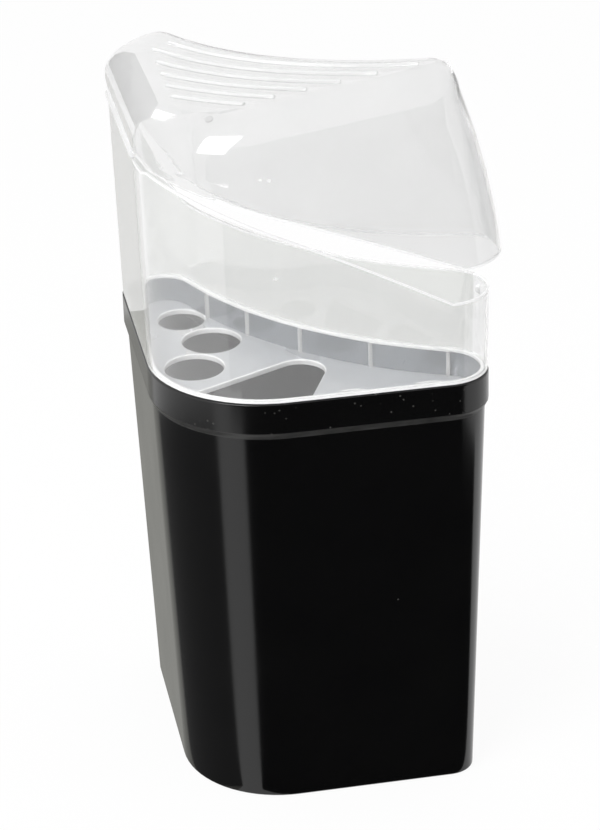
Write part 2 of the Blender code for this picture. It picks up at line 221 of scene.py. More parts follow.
# Lamps: place, aim, width, height and power
KEY_LAMP = ((-0.755, -0.725, 1.35), (-0.095, 0.035, 0.23), 0.8, 1.1, 14.0)
RIM_LAMP = ((-0.45, 1.2, 0.92), (-0.03, 0.0, 0.23), 0.3, 0.3, 1.2)
# Strength of the surroundings as a light on the object, where white to the eye is 1
WORLD_LIGHT = 0.7
# Share of the floor that shines as the background does, its roughness, and how far the floor and
# the cards lie below the tub
FLOOR_GLOW = 0.92
FLOOR_ROUGH = 0.9
FLOOR_DROP = 0.2 * MM
CARD_DROP = 0.1 * MM

# Cards on the floor that only gloss sees, with headings clockwise from +Y. Between the front card
# and the left one the white floor shows as the upright band on the tub's round corner.
FRONT_CARD_AT = (-14.5 * MM, -35.1 * MM)
FRONT_CARD = (130.0, 215.0)
RIGHT_CARD = (90.0, 130.0)
FAR_CARD = (210.0, 226.0)
FRONT_WALL = (130.0, 226.0)
LEFT_CARD_AT = (-21.9 * MM, -31.0 * MM)
LEFT_CARD = (243.0, 330.0)
BACK_CARD = (330.0, 373.0)
CARD_NEAR = 0.30
BACK_NEAR = 0.41
CARD_FAR = 0.90
WALL_AT = 2.2
WALL_TALL = 2.2
CARD_STEPS = 12
# Upright card behind the hinge side, which gives the lid's rounded shoulder its grey band
SIDE_CARD = ((-507 * MM, 936 * MM), (-177 * MM, 1050 * MM))
SIDE_CARD_Z = (100 * MM, 620 * MM)


def linear(code):
    """Linear colour of an sRGB hex value."""
    values = []
    for start in (1, 3, 5):
        part = int(code[start:start + 2], 16) / 255.0
        values.append(part / 12.92 if part <= 0.04045 else ((part + 0.055) / 1.055) ** 2.4)
    return tuple(values)


def per_mm(size):
    """Scale of a pattern whose grain has this size in millimetres."""
    return 1.0 / (size * MM)


def add(tree, kind, values=None, links=None, **settings):
    """Add one node with its settings, its socket values and its links."""
    made = tree.nodes.new(kind)
    for name, value in settings.items():
        setattr(made, name, value)
    for socket, value in (values or {}).items():
        made.inputs[socket].default_value = value
    for socket, source in (links or {}).items():
        tree.links.new(source, made.inputs[socket])
    return made


def new_material(name):
    """Plain material with its tree and its shader."""
    made = bpy.data.materials.new(name)
    made.use_nodes = True
    return made, made.node_tree, made.node_tree.nodes["Principled BSDF"]


def black_moulded_abs(colours):
    """ABS, moulded in a polished tool: deep black gloss with a faint ripple.

    Handling has dulled and specked the collar, and a grey line of painted reflection runs round
    its chamfer.
    """
    made, tree, shader = new_material("black_moulded_abs")
    place = add(tree, "ShaderNodeTexCoord").outputs["Object"]
    height = add(tree, "ShaderNodeSeparateXYZ", None, {"Vector": place}).outputs["Z"]
    collar = add(tree, "ShaderNodeMapRange",
                 {"From Min": CHAMFER_TOP * MM, "From Max": (CHAMFER_TOP + CHAMFER_BLEND[1]) * MM},
                 {"Value": height})
    above = add(tree, "ShaderNodeMapRange",
                {"From Min": (CHAMFER_LOW - CHAMFER_BLEND[0]) * MM, "From Max": CHAMFER_LOW * MM},
                {"Value": height})
    chamfer = add(tree, "ShaderNodeMath", None,
                  {0: above.outputs[0], 1: collar.outputs[0]}, operation="SUBTRACT")
    cloud = add(tree, "ShaderNodeTexNoise", {"Scale": per_mm(TUB_CLOUD), "Detail": 3.0},
                {"Vector": place})
    shade = add(tree, "ShaderNodeMix",
                {"A": (*colours.tub_deep, 1.0), "B": (*colours.tub_worn, 1.0)},
                {"Factor": cloud.outputs["Fac"]}, data_type="RGBA")
    # A grey line of painted reflection runs round the chamfer in broken stretches
    broken = add(tree, "ShaderNodeTexNoise", {"Scale": per_mm(REFLECTION_STRETCH), "Detail": 4.0},
                 {"Vector": place})
    stretch = add(tree, "ShaderNodeMapRange",
                  {"From Min": REFLECTION_BREAK[0], "From Max": REFLECTION_BREAK[1], "To Min": REFLECTION_LEAST},
                  {"Value": broken.outputs["Fac"]})
    reflection_band = add(tree, "ShaderNodeMath", None,
                {0: chamfer.outputs[0], 1: stretch.outputs[0]}, operation="MULTIPLY")
    reflection_mixed = add(tree, "ShaderNodeMix", {"B": (*colours.tub_painted_reflection, 1.0)},
                  {"Factor": reflection_band.outputs[0], "A": shade.outputs["Result"]}, data_type="RGBA")
    # Dust specks of about 0.5 mm, many on the collar and few on the body
    cells = add(tree, "ShaderNodeTexVoronoi", {"Scale": per_mm(DUST_SPACING)}, {"Vector": place})
    speck = add(tree, "ShaderNodeMapRange",
                {"From Min": SPECK_EDGE[0], "From Max": SPECK_EDGE[1]},
                {"Value": cells.outputs["Distance"]})
    often = add(tree, "ShaderNodeMapRange", {"To Min": SPECK_PICK[0], "To Max": SPECK_PICK[1]},
                {"Value": collar.outputs[0]})
    picked = add(tree, "ShaderNodeMath", None,
                 {0: broken.outputs["Fac"], 1: often.outputs[0]}, operation="GREATER_THAN")
    dust = add(tree, "ShaderNodeMath", None,
               {0: speck.outputs[0], 1: picked.outputs[0]}, operation="MULTIPLY")
    thin = add(tree, "ShaderNodeMath", {1: DUST_COVER}, {0: dust.outputs[0]},
               operation="MULTIPLY")
    dusty = add(tree, "ShaderNodeMix", {"B": (*colours.dust, 1.0)},
                {"Factor": thin.outputs[0], "A": reflection_mixed.outputs["Result"]}, data_type="RGBA")
    tree.links.new(dusty.outputs["Result"], shader.inputs["Base Color"])
    polish = add(tree, "ShaderNodeMapRange", {"To Min": TUB_POLISH[0], "To Max": TUB_POLISH[1]},
                 {"Value": cloud.outputs["Fac"]})
    handled = add(tree, "ShaderNodeMath", {1: HANDLED_ROUGH}, {0: collar.outputs[0]},
                  operation="MULTIPLY")
    # The band of painted reflection is also made a little rougher
    worn = add(tree, "ShaderNodeMath", {1: REFLECTION_ROUGH}, {0: reflection_band.outputs[0]},
               operation="MULTIPLY")
    duller = add(tree, "ShaderNodeMath", None,
                 {0: handled.outputs[0], 1: worn.outputs[0]}, operation="ADD")
    rough = add(tree, "ShaderNodeMath", None,
                {0: polish.outputs[0], 1: duller.outputs[0]}, operation="ADD")
    tree.links.new(rough.outputs[0], shader.inputs["Roughness"])
    ripple = add(tree, "ShaderNodeTexNoise", {"Scale": per_mm(TUB_RIPPLE), "Detail": 2.0},
                 {"Vector": place})
    bump = add(tree, "ShaderNodeBump", {"Strength": RIPPLE_STRENGTH, "Distance": RIPPLE_DEPTH},
               {"Height": ripple.outputs["Fac"]})
    tree.links.new(bump.outputs["Normal"], shader.inputs["Normal"])
    shader.inputs["IOR"].default_value = ABS_IOR
    return made


def clear_styrene(name, tint):
    """Clear styrene, moulded thin: see-through, with a grey haze and a slow waver from its flow.

    The wall hardly bends the view, so the body's IOR is low and the coat carries the gloss of
    styrene. Upright streaks are left where a wall was drawn from the mould.
    """
    haze, rough, streak, darkest = FINISHES[name]
    made, tree, shader = new_material(name)
    place = add(tree, "ShaderNodeTexCoord").outputs["Object"]
    flow = add(tree, "ShaderNodeTexNoise", {"Scale": per_mm(MELT_FLOW), "Detail": 2.0},
               {"Vector": place})
    upright = add(tree, "ShaderNodeMapping", {"Scale": STREAK_DRAWN}, {"Vector": place})
    drawn = add(tree, "ShaderNodeTexNoise", {"Scale": per_mm(STREAK_WIDTH), "Detail": 3.0},
                {"Vector": upright.outputs[0]})
    mixed = add(tree, "ShaderNodeMix", {"Factor": streak},
                {"A": flow.outputs["Fac"], "B": drawn.outputs["Fac"]})
    darker = tuple(part * darkest for part in tint)
    shade = add(tree, "ShaderNodeMix", {"A": (*darker, 1.0), "B": (*tint, 1.0)},
                {"Factor": mixed.outputs[0]}, data_type="RGBA")
    tree.links.new(shade.outputs["Result"], shader.inputs["Base Color"])
    polish = add(tree, "ShaderNodeMapRange",
                 {"To Min": rough * POLISH_SPREAD[0], "To Max": rough * POLISH_SPREAD[1]},
                 {"Value": mixed.outputs[0]})
    tree.links.new(polish.outputs["Result"], shader.inputs["Roughness"])
    bump = add(tree, "ShaderNodeBump", {"Strength": RIPPLE_STRENGTH, "Distance": FLOW_DEPTH},
               {"Height": flow.outputs["Fac"]})
    tree.links.new(bump.outputs["Normal"], shader.inputs["Normal"])
    shader.inputs["IOR"].default_value = BODY_IOR
    shader.inputs["Coat Weight"].default_value = 1.0
    shader.inputs["Coat IOR"].default_value = STYRENE_IOR
    shader.inputs["Coat Roughness"].default_value = COAT_ROUGH
    shader.inputs["Transmission Weight"].default_value = 1.0 - haze
    return made


def select_only(piece):
    """Leave one object selected and active."""
    bpy.ops.object.select_all(action="DESELECT")
    piece.select_set(True)
    bpy.context.view_layer.objects.active = piece


def solid_copy(node):
    """Copy of a solid with its points merged and its triangles joined to faces."""
    select_only(frame["nodes"][node])
    bpy.ops.object.duplicate()
    piece = bpy.context.active_object
    piece.name = node + "_moulded"
    piece.data.name = piece.name
    bpy.ops.object.mode_set(mode="EDIT")
    bpy.ops.mesh.select_all(action="SELECT")
    bpy.ops.mesh.remove_doubles(threshold=WELD)
    bpy.ops.mesh.tris_convert_to_quads(face_threshold=LEVEL, shape_threshold=SMOOTH)
    bpy.ops.object.mode_set(mode="OBJECT")
    return piece


def finish_piece(piece, node, body, slot, *plastics):
    """Give a moulded copy its plastics and let it stand for its solid on its body."""
    piece.data.materials.clear()
    for material in plastics:
        piece.data.materials.append(material)
    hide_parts(node)
    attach(piece, body)


def pick_faces(piece, chosen):
    """Leave the chosen faces selected in edit mode."""
    bpy.ops.object.mode_set(mode="EDIT")
    bpy.ops.mesh.select_mode(type="FACE")
    work = bmesh.from_edit_mesh(piece.data)
    for face in work.faces:
        face.select_set(chosen(face))
    bmesh.update_edit_mesh(piece.data)


def set_faces(piece, material, chosen, band=0.0):
    """Give the chosen faces, and a band of this width beside them, one of the piece's plastics."""
    select_only(piece)
    piece.active_material_index = piece.data.materials.find(material.name)
    if band:
        pick_faces(piece, lambda face: not chosen(face))
        bpy.ops.mesh.inset(thickness=band, depth=0.0, use_boundary=True, use_edge_rail=True)
        bpy.ops.mesh.select_all(action="INVERT")
    else:
        pick_faces(piece, chosen)
    bpy.ops.object.material_slot_assign()
    bpy.ops.mesh.select_all(action="DESELECT")
    bpy.ops.object.mode_set(mode="OBJECT")


def any_edge(line):
    """True for every moulded edge."""
    return True


def round_edges(piece, edge, steps, wanted=any_edge, held=True):
    """Round the outer moulded edges that are wanted.

    Held edges are rounded no more than the shortest of them leaves room for.
    """
    select_only(piece)
    bpy.ops.object.mode_set(mode="EDIT")
    bpy.ops.mesh.select_mode(type="EDGE")
    bpy.ops.mesh.select_all(action="DESELECT")
    bpy.ops.mesh.edges_select_sharp(sharpness=SHARP)
    work = bmesh.from_edit_mesh(piece.data)
    for line in work.edges:
        if line.select and (line.calc_face_angle_signed(0.0) < 0.0 or not wanted(line)):
            line.select = False
    bmesh.update_edit_mesh(piece.data)
    bpy.ops.mesh.bevel(offset=edge, segments=steps, clamp_overlap=held, loop_slide=held)
    bpy.ops.object.mode_set(mode="OBJECT")


def shade_piece(piece):
    """Shade a piece's curves smooth and keep its flat faces flat."""
    select_only(piece)
    bpy.ops.object.shade_smooth_by_angle(angle=SMOOTH)
    flat = piece.modifiers.new("flat_faces", "WEIGHTED_NORMAL")
    flat.keep_sharp = True
    bpy.ops.object.modifier_apply(modifier=flat.name)


def height_of(face):
    """Height of a face's middle in millimetres."""
    return face.calc_center_median().z / MM


def middle_of(line):
    """Middle of an edge."""
    return (line.verts[0].co + line.verts[1].co) / 2.0


def strip_of(face):
    """Width of a long face in millimetres."""
    return face.calc_area() / max(line.calc_length() for line in face.edges) / MM


def behind_front(face):
    """True for a face that lies behind the front wall, away from the hinge side."""
    place = face.calc_center_median()
    return place.y > FRONT_RIM and place.x > HINGE_RIM


def back_rim(face):
    """True for the white rim faces of the hollow back wall."""
    return face.material_index == EDGE_NUMBER and behind_front(face)


def back_wall(face):
    """True for the hollow back wall of a clear piece."""
    return behind_front(face) and abs(face.normal.z) < BACK_WALL_LEAN


class StandSizes(bpy.types.PropertyGroup):
    """Sizes of the moulded detail and of the stage."""

    edge_round: bpy.props.FloatProperty(
        name="Edge round", description="Rounding of the tub's moulded edges",
        default=0.3 * MM, unit="LENGTH")
    thin_round: bpy.props.FloatProperty(
        name="Thin edge round", description="Rounding of the edges of the thin clear walls",
        default=0.15 * MM, unit="LENGTH")
    hole_round: bpy.props.FloatProperty(
        name="Opening round", description="Rounding of the upper edges of the rack's openings",
        default=0.4 * MM, unit="LENGTH")
    gate_radius: bpy.props.FloatProperty(
        name="Gate radius", description="Radius of the gate mark on the lid",
        default=1.3 * MM, unit="LENGTH")
    ejector_radius: bpy.props.FloatProperty(
        name="Ejector radius", description="Radius of the small ejector marks",
        default=0.5 * MM, unit="LENGTH")
    mark_rise: bpy.props.FloatProperty(
        name="Mark rise", description="How far the marks stand out of the wall",
        default=0.15 * MM, unit="LENGTH")
    floor_side: bpy.props.FloatProperty(
        name="Floor side", description="Length of the floor's sides",
        default=8.0, unit="LENGTH")


class StandColours(bpy.types.PropertyGroup):
    """Colours of the plastics and of the stage."""

    tub_deep: bpy.props.FloatVectorProperty(
        name="Tub black", description="Colour of the tub's deepest black",
        default=linear("#050506"), subtype="COLOR")
    tub_worn: bpy.props.FloatVectorProperty(
        name="Tub black, lighter", description="Colour of the tub where handling has dulled it",
        default=linear("#0a0a0a"), subtype="COLOR")
    tub_painted_reflection: bpy.props.FloatVectorProperty(
        name="Painted reflection", description="Colour of the painted reflection on the chamfer under the collar",
        default=linear("#363635"), subtype="COLOR")
    dust: bpy.props.FloatVectorProperty(
        name="Dust", description="Colour of the dust specks on the tub",
        default=linear("#6c6c68"), subtype="COLOR")
    clear: bpy.props.FloatVectorProperty(
        name="Clear plastic", description="Tint of the sleeve, and of the lid's hollow back wall as painted light",
        default=linear("#fcfcfc"), subtype="COLOR")
    clear_lid: bpy.props.FloatVectorProperty(
        name="Clear lid", description="Tint of the lid",
        default=linear("#efefef"), subtype="COLOR")
    back_wall_painted_shade: bpy.props.FloatVectorProperty(
        name="Back wall, painted shade", description="Tint of the sleeve's hollow back wall, darker as painted shade",
        default=linear("#eaebe9"), subtype="COLOR")
    edge: bpy.props.FloatVectorProperty(
        name="Edges", description="Colour of the painted highlight on the edges, ribs, marks and bead of the clear plastics",
        default=linear("#fafafa"), subtype="COLOR")
    tray: bpy.props.FloatVectorProperty(
        name="Tray floor", description="Tint of the rack tray's frosted floor",
        default=linear("#f2f5f9"), subtype="COLOR")
    tray_wall: bpy.props.FloatVectorProperty(
        name="Tray wall", description="Tint of the rack tray's wall",
        default=linear("#e8eef5"), subtype="COLOR")
    floor: bpy.props.FloatVectorProperty(
        name="Floor", description="Colour of the floor and the surroundings",
        default=linear("#ffffff"), subtype="COLOR")
    card: bpy.props.FloatVectorProperty(
        name="Front card", description="Colour of the card that the tub's front mirrors",
        default=linear("#282828"), subtype="COLOR")
    left_card: bpy.props.FloatVectorProperty(
        name="Left card", description="Colour of the card that the tub's round corner mirrors",
        default=linear("#606060"), subtype="COLOR")
    grey_card: bpy.props.FloatVectorProperty(
        name="Grey card", description="Colour of the card that the hinge side mirrors",
        default=linear("#aeaea9"), subtype="COLOR")
    far_card: bpy.props.FloatVectorProperty(
        name="Far card", description="Colour of the card that the sleeve's hinge side mirrors",
        default=linear("#e0e0de"), subtype="COLOR")
    side_card: bpy.props.FloatVectorProperty(
        name="Side card", description="Colour of the card that the lid's shoulder mirrors",
        default=linear("#acacac"), subtype="COLOR")


class STAND_OT_tub(bpy.types.Operator):
    """Mould the black tub"""

    bl_idname = "stand.tub"
    bl_label = "Tub"

    def execute(self, context):
        sizes = context.scene.stand_sizes
        piece = solid_copy("tub")
        gloss = black_moulded_abs(context.scene.stand_colours)
        finish_piece(piece, "tub", "tub", "black_plastic", gloss)
        round_edges(piece, sizes.edge_round, ROUND_STEPS)
        shade_piece(piece)
        return {"FINISHED"}


def tray_wall(face):
    """True for the tray's upright walls."""
    return height_of(face) > TRAY_FLOOR[1] and abs(face.normal.z) < UPRIGHT


def tray_rib_highlight(face):
    """True for the ribs on the tray's back wall."""
    upper = height_of(face) > TRAY_FLOOR[1]
    return upper and len(face.verts) == 4 and strip_of(face) < TRAY_RIB_STRIP


def tray_floor_top(face):
    """True for the floor's flat upper face."""
    return abs(height_of(face) - TRAY_TOP) < TRAY_TOUCH and face.normal.z > FACES_UP


def hole_wall(face):
    """True for the walls of the openings in the tray's floor."""
    return TRAY_FLOOR[0] < height_of(face) < TRAY_FLOOR[1]


def hole_rounding(face):
    """True for the rounded edges of the openings in the tray's floor."""
    low = TRAY_FLOOR[0] < height_of(face) < TRAY_TOP + TRAY_TOUCH
    return low and ROUNDED_UP[0] < face.normal.z < ROUNDED_UP[1]


def hole_edge(line):
    """True for the upper edges of the openings in the tray's floor, away from the front wall."""
    place = middle_of(line)
    on_top = abs(place.z / MM - TRAY_TOP) < TRAY_TOUCH
    return on_top and (place.y > FRONT_RIM or place.x < FRONT_HOLES)


def tray_rim(line):
    """True for the edges of the tray's rim and its underside, and not for its ribs."""
    height = middle_of(line).z / MM
    return height > TRAY_RIM or height < TRAY_FLOOR[0]


class STAND_OT_rack(bpy.types.Operator):
    """Mould the rack tray, with a frosted floor, clear walls, and edges and ribs white as painted
    highlight
    """

    bl_idname = "stand.rack"
    bl_label = "Rack tray"

    def execute(self, context):
        sizes = context.scene.stand_sizes
        colours = context.scene.stand_colours
        piece = solid_copy("rack")
        frosted = clear_styrene("frosted_tray", colours.tray)
        wall = clear_styrene("clear_tray_wall", colours.tray_wall)
        edge = clear_styrene("tray_edge_highlight", colours.edge)
        rib = clear_styrene("tray_rib_highlight", colours.edge)
        finish_piece(piece, "rack", "rack", "rack_plastic", frosted, wall, edge, rib)
        set_faces(piece, wall, tray_wall)
        # The walls of the openings are white as painted highlight, and so are their rounded edges
        # below
        set_faces(piece, edge, hole_wall)
        # The ribs on the wall are whiter by haze: painted highlight
        set_faces(piece, rib, tray_rib_highlight)
        # The walls are cut all round below the rim, so that the rim carries the white painted
        # highlight
        bpy.ops.object.mode_set(mode="EDIT")
        bpy.ops.mesh.select_all(action="SELECT")
        bpy.ops.mesh.bisect(plane_co=(0.0, 0.0, TRAY_RIM * MM), plane_no=(0.0, 0.0, 1.0))
        bpy.ops.object.mode_set(mode="OBJECT")
        set_faces(piece, edge, lambda face: height_of(face) > TRAY_RIM)
        # The floor becomes one face, which leaves room for rounding its openings
        pick_faces(piece, tray_floor_top)
        bpy.ops.mesh.dissolve_limited(angle_limit=FLAT, delimit={"MATERIAL"})
        bpy.ops.object.mode_set(mode="OBJECT")
        round_edges(piece, sizes.hole_round, ROUND_STEPS, hole_edge, False)
        set_faces(piece, edge, hole_rounding)
        round_edges(piece, sizes.thin_round, THIN_STEPS, tray_rim)
        shade_piece(piece)
        return {"FINISHED"}


class STAND_OT_sleeve(bpy.types.Operator):
    """Mould the clear sleeve, with edges white as painted highlight and a back wall darker as
    painted shade
    """

    bl_idname = "stand.sleeve"
    bl_label = "Sleeve"

    def execute(self, context):
        sizes = context.scene.stand_sizes
        colours = context.scene.stand_colours
        piece = solid_copy("sleeve")
        wall = clear_styrene("clear_sleeve", colours.clear)
        far = clear_styrene("sleeve_back_painted_shade", colours.back_wall_painted_shade)
        edge = clear_styrene("sleeve_edge_highlight", colours.edge)
        back = clear_styrene("sleeve_back_dim_highlight", colours.edge)
        finish_piece(piece, "sleeve", "hood", "sleeve_plastic", wall, edge, back, far)
        # The sleeve's hollow back wall gets a darker tint: painted shade
        set_faces(piece, far, back_wall)
        # The rims and a band beside them are white as painted highlight, dimmer on the back rims
        set_faces(piece, edge, lambda face: abs(face.normal.z) > UPRIGHT, RIM_BAND)
        set_faces(piece, back, back_rim)
        round_edges(piece, sizes.thin_round, THIN_STEPS)
        shade_piece(piece)
        # The lamps shine through the clear wall on what stands inside
        piece.visible_shadow = False
        return {"FINISHED"}


class STAND_OT_hinge(bpy.types.Operator):
    """Mould the hinge bead, white as painted highlight"""

    bl_idname = "stand.hinge"
    bl_label = "Hinge bead"

    def execute(self, context):
        sizes = context.scene.stand_sizes
        piece = solid_copy("hinge_bead")
        # The bead is white by haze as painted highlight
        white = clear_styrene("hinge_bead", context.scene.stand_colours.edge)
        finish_piece(piece, "hinge_bead", "hood", "bead_plastic", white)
        round_edges(piece, sizes.thin_round, THIN_STEPS)
        shade_piece(piece)
        return {"FINISHED"}


def lid_rib(face):
    """True for the grip ribs, which stand above the lid's flat top."""
    place = face.calc_center_median() / MM
    level = place.z * math.cos(LID_TOP_LEAN) - place.x * math.sin(LID_TOP_LEAN)
    return level - LID_TOP_AT > LID_RIB_RISE


def lid_edge_highlight(face):
    """True for the lid's lower rim."""
    return face.normal.z < LID_RIM_DOWN and height_of(face) < LID_HINGE


def lid_low_edge(face):
    """True for the lid's lower rim where its wall is tall."""
    return face.normal.z < LID_RIM_DOWN and height_of(face) < LID_RIM_BAND


def lid_rim(line):
    """True for the edges of the lid's lower rim."""
    return min(face.normal.z for face in line.link_faces) < LID_RIM_DOWN


class STAND_OT_lid(bpy.types.Operator):
    """Mould the clear lid, with edges and grip ribs white as painted highlight and a back wall
    lighter as painted light
    """

    bl_idname = "stand.lid"
    bl_label = "Lid"

    def execute(self, context):
        sizes = context.scene.stand_sizes
        colours = context.scene.stand_colours
        piece = solid_copy("lid")
        wall = clear_styrene("clear_lid", colours.clear_lid)
        far = clear_styrene("lid_back_painted_light", colours.clear)
        ribs = clear_styrene("lid_ribs", colours.edge)
        edge = clear_styrene("lid_edge_highlight", colours.edge)
        back = clear_styrene("lid_back_dim_highlight", colours.edge)
        finish_piece(piece, "lid", "lid", "lid_plastic", wall, edge, back, ribs, far)
        # The lid's hollow back wall gets the sleeve's lighter tint: painted light
        set_faces(piece, far, back_wall)
        # The lower rim and a band beside it are white as painted highlight, dimmer on the back
        # rims
        set_faces(piece, edge, lid_edge_highlight)
        set_faces(piece, edge, lid_low_edge, RIM_BAND)
        set_faces(piece, back, back_rim)
        # The grip ribs are whiter by haze: painted highlight
        set_faces(piece, ribs, lid_rib)
        round_edges(piece, sizes.thin_round, THIN_STEPS, lid_rim)
        shade_piece(piece)
        # The lamps shine through the clear lid on what stands inside
        piece.visible_shadow = False
        return {"FINISHED"}


def put_on(piece, spot):
    """Turn a piece from +Z to a wall's outward direction, put it there and apply its place."""
    place, normal = (Vector(values) for values in spot)
    turn = normal.to_track_quat("Z", "Y").to_matrix().to_4x4()
    piece.matrix_world = Matrix.Translation(place * MM) @ turn
    select_only(piece)
    bpy.ops.object.transform_apply(location=True, rotation=True, scale=True)


def soften(edge):
    """Round the edges of the small piece that is being edited and shade it smooth."""
    bpy.ops.mesh.select_mode(type="EDGE")
    bpy.ops.mesh.select_all(action="DESELECT")
    bpy.ops.mesh.edges_select_sharp(sharpness=SHARP)
    bpy.ops.mesh.bevel(offset=edge, segments=THIN_STEPS, clamp_overlap=True)
    bpy.ops.object.mode_set(mode="OBJECT")
    bpy.ops.object.shade_smooth_by_angle(angle=SMOOTH)


def top_face(face):
    """True for the upper face of a small piece."""
    return face.normal.z > FACES_UP


def moulding_mark(name, spot, radius, rise):
    """Round mark with a dished middle, as a gate or an ejector pin leaves it."""
    bpy.ops.object.select_all(action="DESELECT")
    bpy.ops.mesh.primitive_cylinder_add(vertices=MARK_SIDES, radius=radius, depth=rise * 2.0)
    piece = bpy.context.active_object
    piece.name = name
    piece.data.name = name
    pick_faces(piece, top_face)
    bpy.ops.mesh.inset(thickness=radius * MARK_LIP)
    bpy.ops.transform.translate(value=(0.0, 0.0, -rise * MARK_DISH))
    soften(rise * MARK_SOFT)
    put_on(piece, spot)
    return piece


def sleeve_catch():
    """Small wedge that the lid's rim snaps over."""
    bpy.ops.object.select_all(action="DESELECT")
    bpy.ops.mesh.primitive_cube_add(size=1.0)
    piece = bpy.context.active_object
    piece.name = "sleeve_catch"
    piece.data.name = piece.name
    piece.scale = CATCH_SIZE
    bpy.ops.object.transform_apply(location=False, rotation=False, scale=True)
    pick_faces(piece, top_face)
    bpy.ops.transform.resize(value=CATCH_TOP)
    soften(CATCH_SIZE[2] * CATCH_SOFT)
    put_on(piece, CATCH)
    return piece


class STAND_OT_marks(bpy.types.Operator):
    """Add the gate and ejector marks of moulding and the catch inside the sleeve's tip"""

    bl_idname = "stand.marks"
    bl_label = "Moulding marks"

    def execute(self, context):
        sizes = context.scene.stand_sizes
        tint = context.scene.stand_colours.edge
        clear = clear_styrene("gate_mark", tint)
        # The ejector marks and the catch are white by haze as painted highlight
        white = clear_styrene("mark_highlight", tint)
        pin, rise = sizes.ejector_radius, sizes.mark_rise
        made = moulding_mark("lid_gate", GATE, sizes.gate_radius, rise)
        marks = [(made, clear, "lid", "lid_plastic")]
        for number, spot in enumerate(LID_EJECTORS):
            made = moulding_mark("lid_ejector_%d" % number, spot, pin, rise)
            marks.append((made, white, "lid", "lid_plastic"))
        made = moulding_mark("sleeve_ejector", SLEEVE_EJECTOR, pin, rise)
        marks.append((made, white, "hood", "sleeve_plastic"))
        marks.append((sleeve_catch(), white, "hood", "sleeve_plastic"))
        for piece, material, body, slot in marks:
            piece.data.materials.append(material)
            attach(piece, body)
        return {"FINISHED"}


def seen_share(tree):
    """Output that is 1 for what the eye, gloss and clear plastic see, and 0 for other light."""
    path = add(tree, "ShaderNodeLightPath").outputs
    clear = add(tree, "ShaderNodeMath", None,
                {0: path["Is Camera Ray"], 1: path["Is Transmission Ray"]}, operation="MAXIMUM")
    gloss = add(tree, "ShaderNodeMath", None,
                {0: clear.outputs[0], 1: path["Is Glossy Ray"]}, operation="MAXIMUM")
    return gloss.outputs[0]


def set_world(colour):
    """White surroundings to the eye, gloss and clear plastic, with softer light on the object."""
    world = bpy.data.worlds.new("studio")
    bpy.context.scene.world = world
    world.use_nodes = True
    tree = world.node_tree
    back = tree.nodes["Background"]
    level = add(tree, "ShaderNodeMapRange", {"To Min": WORLD_LIGHT, "To Max": 1.0},
                {"Value": seen_share(tree)})
    back.inputs["Color"].default_value = (*colour, 1.0)
    tree.links.new(level.outputs["Result"], back.inputs["Strength"])


def floor_paper(colour):
    """White paper that shines as the background does and still takes the object's shadow."""
    made, tree, shader = new_material("floor_paper")
    shader.inputs["Base Color"].default_value = (*colour, 1.0)
    shader.inputs["Roughness"].default_value = FLOOR_ROUGH
    shader.inputs["Specular IOR Level"].default_value = 0.0
    share = add(tree, "ShaderNodeMath", {1: FLOOR_GLOW}, {0: seen_share(tree)},
                operation="MULTIPLY")
    glow = add(tree, "ShaderNodeEmission", {"Color": (*colour, 1.0), "Strength": 1.0})
    mixed = add(tree, "ShaderNodeMixShader", None,
                {0: share.outputs[0], 1: shader.outputs[0], 2: glow.outputs[0]})
    tree.links.new(mixed.outputs[0], tree.nodes["Material Output"].inputs["Surface"])
    return made


def paper_card(name, colour):
    """Matt card that gives the gloss its own grey in place of the white floor."""
    made, tree, shader = new_material(name)
    shader.inputs["Base Color"].default_value = (0.0, 0.0, 0.0, 1.0)
    shader.inputs["Roughness"].default_value = 1.0
    shader.inputs["Specular IOR Level"].default_value = 0.0
    shader.inputs["Emission Color"].default_value = (*colour, 1.0)
    shader.inputs["Emission Strength"].default_value = 1.0
    return made


def gloss_card(name, points, material):
    """Card that only gloss sees."""
    mesh = bpy.data.meshes.new(name)
    mesh.from_pydata(points, [], [tuple(range(len(points)))])
    mesh.materials.append(material)
    made = bpy.data.objects.new(name, mesh)
    bpy.context.collection.objects.link(made)
    for way in ("camera", "diffuse", "transmission", "shadow", "volume_scatter"):
        setattr(made, "visible_" + way, False)


def arc_on_floor(centre, radius, headings):
    """Points on the floor along part of a circle."""
    start, end = headings
    points = []
    for step in range(CARD_STEPS + 1):
        heading = math.radians(start + (end - start) * step / CARD_STEPS)
        points.append((centre[0] + radius * math.sin(heading),
                       centre[1] + radius * math.cos(heading), CAD_BOX[0][2] - CARD_DROP))
    return points


def fan_on_floor(centre, radius, headings):
    """Outline of a slice of a circle on the floor."""
    return [(*centre, CAD_BOX[0][2] - CARD_DROP)] + arc_on_floor(centre, radius, headings)


def ring_on_floor(centre, near, far, headings):
    """Outline of part of a ring on the floor."""
    return arc_on_floor(centre, near, headings) + arc_on_floor(centre, far, headings)[::-1]


def area_lamp(name, place, aim, wide, tall, power):
    """Softbox at a place, turned to a point."""
    lamp = bpy.data.lights.new(name, "AREA")
    lamp.shape = "RECTANGLE"
    lamp.size = wide
    lamp.size_y = tall
    lamp.energy = power
    made = bpy.data.objects.new(name, lamp)
    bpy.context.collection.objects.link(made)
    made.location = place
    made.rotation_euler = (Vector(aim) - Vector(place)).to_track_quat("-Z", "Y").to_euler()
    return made


